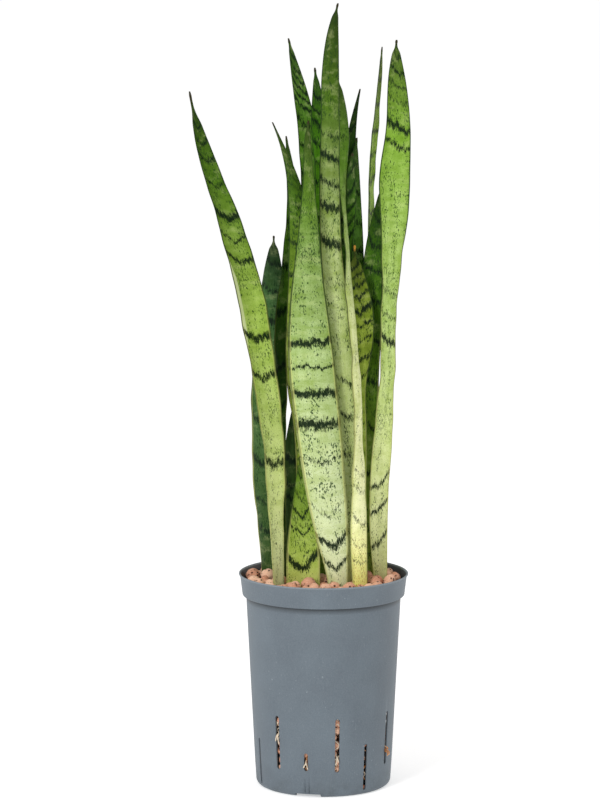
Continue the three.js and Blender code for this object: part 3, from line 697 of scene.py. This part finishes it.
def ripple_leaf(mesh, rng):
    """Waves in the margins and a slow wander of the whole blade, as grown leaves have."""
    points = coordinates(mesh)
    up = read_attribute(mesh, "up", "value", 1).clip(0, 1)
    across = read_attribute(mesh, "across", "value", 1)
    facing = read_attribute(mesh, "facing", "vector", 3)
    facing /= np.maximum(np.linalg.norm(facing, axis=1), 1e-6)[:, None]
    height = points[:, 2] / MM
    grown = np.minimum(up * 6, 1) * np.minimum((1 - up) * 5, 1)
    wave = np.zeros(len(points))
    for pitch, size in ((74, 0.55), (41, 0.4), (23, 0.2)):
        for side in (-1, 1):
            phase = rng.uniform(0, math.tau)
            on_side = np.clip(side * across, 0, 1) ** 2
            wave += size * on_side * np.sin(height * math.tau / pitch + phase)
    for pitch, size in ((130, 0.35), (67, 0.2)):
        wave += size * np.sin(height * math.tau / pitch + rng.uniform(0, math.tau))
    points += facing * (wave * grown * MM)[:, None]
    mesh.vertices.foreach_set("co", points.ravel())
    mesh.update()


def leaf(node, look, number):
    piece = copied(node, look["piece"])
    measure_leaf(piece.data)
    rounding = piece.modifiers.new("rounding", "SUBSURF")
    rounding.levels = 3
    rounding.render_levels = 3
    only(piece)
    bpy.ops.object.modifier_apply(modifier="rounding")
    draw_out_tip(piece.data, *look.get("drawn_out", (SPINE_LENGTH, SPINE_BLEND)))
    ripple_leaf(piece.data, random.Random(100 + number))
    piece.data.attributes.remove(piece.data.attributes["facing"])
    bpy.ops.object.shade_smooth()
    dress(piece, leaf_finish(node, look, number), [node])


def dress(piece, material, nodes):
    """Gives a finished piece its material and its body, and hides the frame nodes that it stands
    for.
    """
    piece.data.materials.clear()
    piece.data.materials.append(material)
    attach(piece, "root")
    if nodes:
        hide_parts(*nodes)


# --- pot ---


def body_radius(z):
    return body_base_radius + (body_top_radius - body_base_radius) * z / collar_bottom


def inner_radius(z):
    if z < collar_bottom - WALL:
        return body_radius(z) - WALL
    share = (z - collar_bottom) / (COLLAR_HEIGHT - LIP_HEIGHT)
    return step_radius + (collar_radius - step_radius) * share - WALL


def arc(centre, radius, start, end, steps):
    """Points round an arc in the pot's section: angles in degrees from outwards, anticlockwise."""
    angles = [math.radians(start + (end - start) * i / steps) for i in range(steps + 1)]
    return [(centre[0] + radius * math.cos(a), centre[1] + radius * math.sin(a)) for a in angles]


def pot_section():
    """The pot's section from its underside pad, round the outside, to the inner floor."""
    foot_outer = body_base_radius - CORNER_RADIUS
    foot_inner = foot_outer - FOOT_RING_WIDTH
    floor_top = FOOT_HEIGHT + FLOOR
    lip_middle = rim_radius - WALL / 2
    section = [(PAD_RADIUS, 0.0), (PAD_RADIUS + 0.4, 0.1), (PAD_RADIUS + FLOOR, FOOT_HEIGHT)]
    section += [(foot_inner - 1.0, FOOT_HEIGHT), (foot_inner, 0.2), (foot_inner + 0.3, 0.0)]
    section += arc((foot_outer, CORNER_RADIUS), CORNER_RADIUS, -90, 0, 8)
    section += [(body_radius(z), z) for z in (20, 50, 90, 130, collar_bottom - 1.2)]
    section += arc((body_top_radius + 1.0, collar_bottom - 1.0), 1.0, 180, 90, 4)
    section += arc((step_radius - 1.0, collar_bottom + 1.0), 1.0, -90, 0, 4)
    section += [(collar_radius - 0.1, pot_height - LIP_HEIGHT - 0.8)]
    section += arc((lip_middle, pot_height - WALL / 2), WALL / 2, -40, 180, 9)
    section += [(collar_radius - WALL, pot_height - LIP_HEIGHT - 0.4)]
    section += [(step_radius - WALL, collar_bottom + WALL)]
    section += [(body_top_radius - WALL, collar_bottom - WALL)]
    section += [(inner_radius(z), z) for z in (120, 70, 30, floor_top + 2)]
    section += [(inner_radius(floor_top) - 2, floor_top), (PAD_RADIUS + FLOOR + 1, floor_top)]
    section += [(PAD_RADIUS - 0.5, FLOOR)]
    return section


def turn_pot():
    """Draws the pot's wall ring by ring from a disc, as if it were raised on a wheel."""
    section = pot_section()
    radius, level = section[0]
    bpy.ops.object.select_all(action="DESELECT")
    place = (0, 0, level * MM)
    disc = {"vertices": POT_SIDES, "radius": radius * MM, "fill_type": "TRIFAN"}
    bpy.ops.mesh.primitive_circle_add(location=place, **disc)
    pot = bpy.context.object
    bpy.ops.object.transform_apply(location=True, rotation=True, scale=True)
    bpy.ops.object.mode_set(mode="EDIT")
    bpy.ops.mesh.select_all(action="SELECT")
    bpy.ops.mesh.region_to_loop()
    for next_radius, next_level in section[1:]:
        rise = (0, 0, (next_level - level) * MM)
        bpy.ops.mesh.extrude_edges_move(TRANSFORM_OT_translate={"value": rise})
        growth = next_radius / radius
        centre = (0, 0, next_level * MM)
        bpy.ops.transform.resize(value=(growth, growth, 1), center_override=centre)
        radius, level = next_radius, next_level
    bpy.ops.mesh.edge_face_add()
    bpy.ops.mesh.select_all(action="SELECT")
    bpy.ops.mesh.normals_make_consistent(inside=False)
    bpy.ops.object.mode_set(mode="OBJECT")
    return pot


def radial(azimuth):
    """A direction in plan: 0 is the front, positive to the right."""
    return Vector((math.sin(math.radians(azimuth)), -math.cos(math.radians(azimuth)), 0))


def cutter(width, bottom, top, azimuth, inside, outside, rounded):
    """A block that reaches out through the wall, with round ends where the slot has them."""
    middle = radial(azimuth) * ((inside + outside) / 2 * MM)
    middle += Vector((0, 0, (bottom + top) / 2 * MM))
    bpy.ops.object.select_all(action="DESELECT")
    turn = (0, 0, math.radians(azimuth))
    bpy.ops.mesh.primitive_cube_add(size=1, location=middle, rotation=turn)
    block = bpy.context.object
    block.scale = (width * MM, (outside - inside) * MM, (top - bottom) * MM)
    bpy.ops.object.transform_apply(location=False, rotation=False, scale=True)
    if rounded:
        shape = bmesh.new()
        shape.from_mesh(block.data)
        ways = {e: (e.verts[0].co - e.verts[1].co).normalized() for e in shape.edges}
        along = [e for e in shape.edges if abs(ways[e].y) > 0.9]
        round_end = {"offset": width * MM * 0.49, "segments": 6, "profile": 0.5, "affect": "EDGES"}
        bmesh.ops.bevel(shape, geom=along, **round_end)
        shape.to_mesh(block.data)
        shape.free()
    bpy.ops.object.transform_apply(location=True, rotation=True, scale=True)
    return block


def joined(pieces, name):
    bpy.ops.object.select_all(action="DESELECT")
    for piece in pieces:
        piece.select_set(True)
    bpy.context.view_layer.objects.active = pieces[0]
    bpy.ops.object.join()
    pieces[0].name = name
    pieces[0].data.name = name
    return pieces[0]


def slots():
    """Every slot of the pot, with its azimuth."""
    for i in range(SLOTS_PER_ROW):
        lower = SHORT_SLOT if i == 0 else LOWER_SLOT
        yield UPPER_SLOT, UPPER_SLOT["azimuth"] + i * SLOT_PITCH
        yield lower, lower["azimuth"] + i * SLOT_PITCH


def growing_pot():
    pot = turn_pot()
    inside = body_base_radius - CORNER_RADIUS - 1
    blocks = [
        cutter(slot["width"], slot["bottom"], slot["top"], azimuth, inside, rim_radius, True)
        for slot, azimuth in slots()
    ]
    reach = body_base_radius - CORNER_RADIUS - 2 * FOOT_RING_WIDTH
    for i in range(NOTCHES):
        azimuth = NOTCH_AZIMUTH + i * 360 / NOTCHES
        sizes = (NOTCH_WIDTH, -NOTCH_HEIGHT, NOTCH_HEIGHT)
        blocks.append(cutter(*sizes, azimuth, reach, rim_radius, False))
    cutters = joined(blocks, "slot_cutters")
    cut = pot.modifiers.new("slots", "BOOLEAN")
    cut.operation = "DIFFERENCE"
    cut.solver = "EXACT"
    cut.object = cutters
    only(pot)
    bpy.ops.object.modifier_apply(modifier="slots")
    bpy.data.objects.remove(cutters)
    pot.name = "slotted_pot"
    pot.data.name = "slotted_pot"
    soften = pot.modifiers.new("soften", "BEVEL")
    soften.limit_method = "ANGLE"
    soften.angle_limit = math.radians(50)
    soften.width = 0.2 * MM
    soften.segments = 2
    bpy.ops.object.modifier_apply(modifier="soften")
    bpy.ops.object.shade_smooth_by_angle(angle=math.radians(34))
    dress(pot, pot_finish(), ["pot_base", "pot_wall"])


def mould_lines():
    """Two thin raised lines that the mould leaves below the short slot."""
    lines = []
    outside = body_radius(MOULD_LINE["middle"]) + MOULD_LINE["proud"]
    inside = outside - MOULD_LINE["depth"]
    sizes = (MOULD_LINE["width"], MOULD_LINE["bottom"], MOULD_LINE["top"])
    for turn in MOULD_LINE_TURNS:
        lines.append(cutter(*sizes, SHORT_SLOT["azimuth"] + turn, inside, outside, False))
    piece = joined(lines, "mould_lines")
    soften = piece.modifiers.new("soften", "BEVEL")
    soften.width = 0.15 * MM
    soften.segments = 2
    only(piece)
    bpy.ops.object.modifier_apply(modifier="soften")
    dress(piece, bpy.data.materials["scuffed_pot_plastic"], [])


# --- clay ---


def pebble_shapes(rng, count, fineness):
    """A few lumpy pebbles of unit size, as meshes that the others copy."""
    shapes = []
    for number in range(count):
        bpy.ops.object.select_all(action="DESELECT")
        bpy.ops.mesh.primitive_ico_sphere_add(subdivisions=fineness, radius=1)
        pebble = bpy.context.object
        lumps = bpy.data.textures.new("lumps", "CLOUDS")
        lumps.noise_scale = 0.75
        lumps.noise_depth = 2
        swell = pebble.modifiers.new("swell", "DISPLACE")
        swell.texture = lumps
        swell.texture_coords = "LOCAL"
        swell.strength = 0.34
        swell.mid_level = 0.55
        pebble.location = (PEBBLE_TEXTURE_STEP * number, 0, 0)
        bpy.ops.object.transform_apply(location=True, rotation=False, scale=False)
        bpy.ops.object.modifier_apply(modifier="swell")
        points = coordinates(pebble.data) - np.array((PEBBLE_TEXTURE_STEP * number, 0, 0))
        squash = [rng.uniform(0.86, 1.12), rng.uniform(0.86, 1.12), rng.uniform(0.8, 1.0)]
        points *= np.array(squash)
        faces = [list(face.vertices) for face in pebble.data.polygons]
        shapes.append((points, faces))
        bpy.data.objects.remove(pebble)
    return shapes


def leaf_feet():
    """The outline that each leaf leaves in plan at the planting level, in millimetres."""
    feet = []
    for node in LEAVES:
        points = coordinates(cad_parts[node].data) / MM
        level = points[np.abs(points[:, 2] - PLANTING_LEVEL) < 0.5][:, :2]
        feet.append(np.unique(level.round(3), axis=0))
    return feet


def clear_of_leaves(x, y, radius, feet):
    """Whether a pebble stands clear of every leaf's foot, taking the foot as a line of points."""
    for foot in feet:
        middle = foot.mean(0)
        _, _, axes = np.linalg.svd(foot - middle)
        reach = np.abs((foot - middle) @ axes[0]).max()
        offset = np.array((x, y)) - middle
        along = np.clip(offset @ axes[0], -reach, reach)
        if np.linalg.norm(offset - along * axes[0]) < radius + LEAF_FOOT_MARGIN:
            return False
    return True


def lay_top_pebbles(rng, feet):
    """Places pebbles over the bed, big ones first, each clear of leaves, wall and the rest."""
    laid = []
    bed = inner_radius(PLANTING_LEVEL - 6)
    for node in sorted(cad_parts):
        if node.startswith("clay_pebble"):
            low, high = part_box(node)
            middle = (low + high) / 2 / MM
            laid.append((middle.x, middle.y, middle.z, (high.x - low.x) / 2 / MM))
    for attempt in range(TOP_LAYER_TRIES):
        share = attempt / TOP_LAYER_TRIES
        radius = PEBBLE_SIZES[1] + (PEBBLE_SIZES[0] - PEBBLE_SIZES[1]) * share ** 0.7
        angle = rng.uniform(0, math.tau)
        distance = (bed - radius) * math.sqrt(rng.random())
        x, y = distance * math.cos(angle), distance * math.sin(angle)
        near = [o for o in laid if math.hypot(o[0] - x, o[1] - y) < (o[3] + radius) * 0.93]
        if near or not clear_of_leaves(x, y, radius * 0.8, feet):
            continue
        level = PLANTING_LEVEL - TOP_LAYER_DROP + rng.uniform(-1.6, 1.8)
        laid.append((x, y, level, radius))
    return laid


def lay_lower_pebbles(rng):
    """A second layer that fills the gaps under the first."""
    laid = []
    bed = inner_radius(PLANTING_LEVEL - LOWER_DROP - 2) - 6
    for ring in range(1, LOWER_RINGS + 1):
        reach = bed * ring / LOWER_RINGS
        count = round(math.tau * reach / LOWER_PITCH)
        for i in range(count):
            angle = (i + rng.uniform(-0.2, 0.2)) / count * math.tau + ring
            level = PLANTING_LEVEL - LOWER_DROP + rng.uniform(-1, 1)
            x, y = reach * math.cos(angle), reach * math.sin(angle)
            laid.append((x, y, level, rng.uniform(4.6, 5.8)))
    return laid


def lay_slot_pebbles(rng):
    """Pebbles pressed against the wall behind each slot."""
    laid = []
    for slot, azimuth in slots():
        level = slot["bottom"] - 3
        while level < slot["top"] + 4:
            radius = rng.uniform(4.0, 5.6)
            level += radius * 0.75
            turn = azimuth + rng.uniform(-3.4, 3.4)
            place = radial(turn) * (body_radius(level) - WALL - radius - rng.uniform(-0.3, 1.4))
            laid.append((place.x, place.y, level, radius))
            level += radius * 0.75
    return laid


def pebbles():
    rng = random.Random(41)
    fine = pebble_shapes(rng, 6, 3)
    plain = pebble_shapes(rng, 6, 2)
    laid = [(fine, pebble) for pebble in lay_top_pebbles(rng, leaf_feet())]
    laid += [(plain, pebble) for pebble in lay_lower_pebbles(rng) + lay_slot_pebbles(rng)]
    points, faces, tones = [], [], []
    count = 0
    for shapes, (x, y, z, radius) in laid:
        unit, unit_faces = shapes[rng.randrange(len(shapes))]
        turn = Vector((0, 0, 1)).rotation_difference(Vector([rng.gauss(0, 1) for _ in range(3)]))
        matrix = np.array(turn.to_matrix())
        placed = unit @ matrix.T * radius + np.array((x, y, z))
        points.append(placed * MM)
        faces += [[index + count for index in face] for face in unit_faces]
        tones += [rng.random()] * len(unit)
        count += len(unit)
    mesh = bpy.data.meshes.new("clay_pebbles")
    mesh.from_pydata(np.concatenate(points).tolist(), [], faces)
    mesh.attributes.new("tone", "FLOAT", "POINT").data.foreach_set("value", tones)
    piece = bpy.data.objects.new("clay_pebbles", mesh)
    bpy.context.scene.collection.objects.link(piece)
    only(piece)
    bpy.ops.object.shade_smooth()
    nodes = [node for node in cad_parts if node.startswith("clay_pebble")]
    material = clay_finish("fired_clay", srgb(255, 206, 176), srgb(206, 138, 108), srgb(30, 12, 8))
    dress(piece, material, nodes)


def clay_core():
    """The dark mass of granulate behind and below the pebbles that show."""
    bpy.ops.object.select_all(action="DESELECT")
    low = FOOT_HEIGHT + FLOOR + 2
    depth = CORE_TOP - low
    place = (0, 0, (low + depth / 2) * MM)
    bpy.ops.mesh.primitive_cylinder_add(vertices=96, radius=1, depth=depth * MM, location=place)
    core = bpy.context.object
    bpy.ops.object.transform_apply(location=True, rotation=True, scale=True)
    bpy.ops.object.mode_set(mode="EDIT")
    bpy.ops.mesh.select_all(action="SELECT")
    bpy.ops.mesh.subdivide(number_cuts=3)
    bpy.ops.object.mode_set(mode="OBJECT")
    points = coordinates(core.data)
    for point in points:
        level = point[2] / MM
        wave = CORE_WAVE * math.sin(level * 0.7) * math.sin(point[0] * 9)
        reach = (inner_radius(level) - CORE_INSET + wave) * MM
        point[0] *= reach
        point[1] *= reach
    core.data.vertices.foreach_set("co", points.ravel())
    core.data.update()
    core.name = "clay_core"
    core.data.name = "clay_core"
    bpy.ops.object.shade_smooth_by_angle(angle=math.radians(40))
    material = clay_finish("shaded_clay", srgb(120, 76, 58), srgb(70, 42, 32), srgb(20, 10, 8))
    dress(core, material, ["clay_granulate"])


# --- roots ---


def root_strand(points, thickness):
    """One root: a smooth tapering tube along its points, in millimetres."""
    curve = bpy.data.curves.new("strand", "CURVE")
    curve.dimensions = "3D"
    curve.bevel_depth = thickness * MM
    curve.bevel_resolution = 2
    curve.resolution_u = 6
    curve.use_fill_caps = True
    line = curve.splines.new("BEZIER")
    line.bezier_points.add(len(points) - 1)
    for i, (knot, point) in enumerate(zip(line.bezier_points, points)):
        knot.co = Vector(point) * MM
        knot.handle_left_type = "AUTO"
        knot.handle_right_type = "AUTO"
        knot.radius = 1.0 - 0.55 * i / len(points)
    strand = bpy.data.objects.new("strand", curve)
    bpy.context.scene.collection.objects.link(strand)
    only(strand)
    bpy.ops.object.convert(target="MESH")
    return bpy.context.object


def roots():
    """Roots that wander behind the slots, with a few tips that come out of them."""
    rng = random.Random(17)
    strands = []
    for slot, azimuth in slots():
        for _ in range(3):
            level = rng.uniform(slot["bottom"] + 6, slot["top"] - 2)
            points = []
            for step in range(5):
                turn = azimuth + (step - 2) * rng.uniform(1.2, 3.2) * rng.choice((-1, 1))
                depth = body_radius(level) - WALL - rng.uniform(0.6, 2.4)
                place = radial(turn) * depth
                points.append((place.x, place.y, level + (2 - step) * rng.uniform(2, 4.5)))
            strands.append(root_strand(points, rng.uniform(0.4, 0.75)))
    for node in sorted(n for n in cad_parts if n.startswith("root_")):
        strands += root_tips(node, rng)
    piece = joined(strands, "root_strands")
    only(piece)
    bpy.ops.object.shade_smooth()
    nodes = [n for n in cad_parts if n.startswith("root_")]
    dress(piece, root_finish(), nodes)


def root_tips(node, rng):
    """Two or three short tips that come out of the slot where a frame root does."""
    points = coordinates(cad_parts[node].data) / MM
    reach = np.hypot(points[:, 0], points[:, 1])
    end = points[reach > reach.max() - 1.0].mean(0)
    azimuth = math.degrees(math.atan2(end[0], -end[1]))
    wall = body_radius(end[2])
    tips = []
    for drift in (-1.1, 0.4, 1.3)[: rng.choice((2, 3))]:
        out = rng.uniform(0.2, 0.8) if node == "root_left" else rng.uniform(1.2, 3.2)
        level = end[2] + rng.uniform(-2, 3)
        fall = rng.uniform(2, 6)
        inner_run = [(-6, -0.6, 4), (-2.5, -0.3, 1.5), (0, 0, 0)]
        outer_run = [(out, 0.5, -fall * 0.5), (out * 0.8, 1.0, -fall)]
        points = []
        for depth, sway, lift in inner_run + outer_run:
            place = radial(azimuth + drift * (0.5 + sway)) * (wall + depth)
            points.append((place.x, place.y, level + lift))
        tips.append(root_strand(points, rng.uniform(0.55, 0.85)))
    return tips


def rhizomes():
    """Gives the carried-over creeping stems their finish."""
    material = rhizome_finish()
    for node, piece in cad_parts.items():
        if node.startswith("rhizome"):
            piece.data.materials[0] = material


# --- studio ---


def studio():
    bpy.ops.object.select_all(action="DESELECT")
    bpy.ops.mesh.primitive_plane_add(size=FLOOR_SIZE)
    floor = bpy.context.object
    floor.name = "studio_floor"
    floor.data.materials.append(floor_finish())
    world = bpy.data.worlds.new("studio_air")
    world.use_nodes = True
    world.node_tree.nodes["Background"].inputs[0].default_value = (1.0, 1.0, 1.0, 1)
    world.node_tree.nodes["Background"].inputs[1].default_value = AIR_STRENGTH
    bpy.context.scene.world = world
    lamp("key", (-1.7, -2.8, 1.9), 0.9, 53, (1.0, 0.99, 0.97))
    lamp("fill", (0.7, -3.3, 0.9), 0.8, 4, (1.0, 0.98, 0.95))
    lamp("rim", (1.7, 0.9, 0.7), 0.8, 5, (1.0, 0.88, 0.76))


def lamp(name, place, size, power, colour):
    light = bpy.data.lights.new(name, "AREA")
    light.shape = "DISK"
    light.size = size
    light.energy = power
    light.color = colour
    holder = bpy.data.objects.new(name, light)
    holder.location = place
    aim = Vector(LAMP_AIM) - Vector(place)
    holder.rotation_euler = aim.to_track_quat("-Z", "Y").to_euler()
    bpy.context.scene.collection.objects.link(holder)


def camera():
    lens = bpy.data.cameras.new("camera")
    lens.lens = LENS
    lens.sensor_width = 36.0
    lens.clip_end = 200.0
    holder = bpy.data.objects.new("camera", lens)
    holder.location = CAMERA_PLACE
    holder.rotation_euler = (math.radians(90 - CAMERA_TILT), 0, 0)
    bpy.context.scene.collection.objects.link(holder)
    bpy.context.scene.camera = holder


camera()
studio()
growing_pot()
mould_lines()
clay_core()
pebbles()
roots()
rhizomes()
for number, (node, look) in enumerate(LEAVES.items()):
    leaf(node, look, number)

bpy.context.scene.view_settings.view_transform = "Standard"
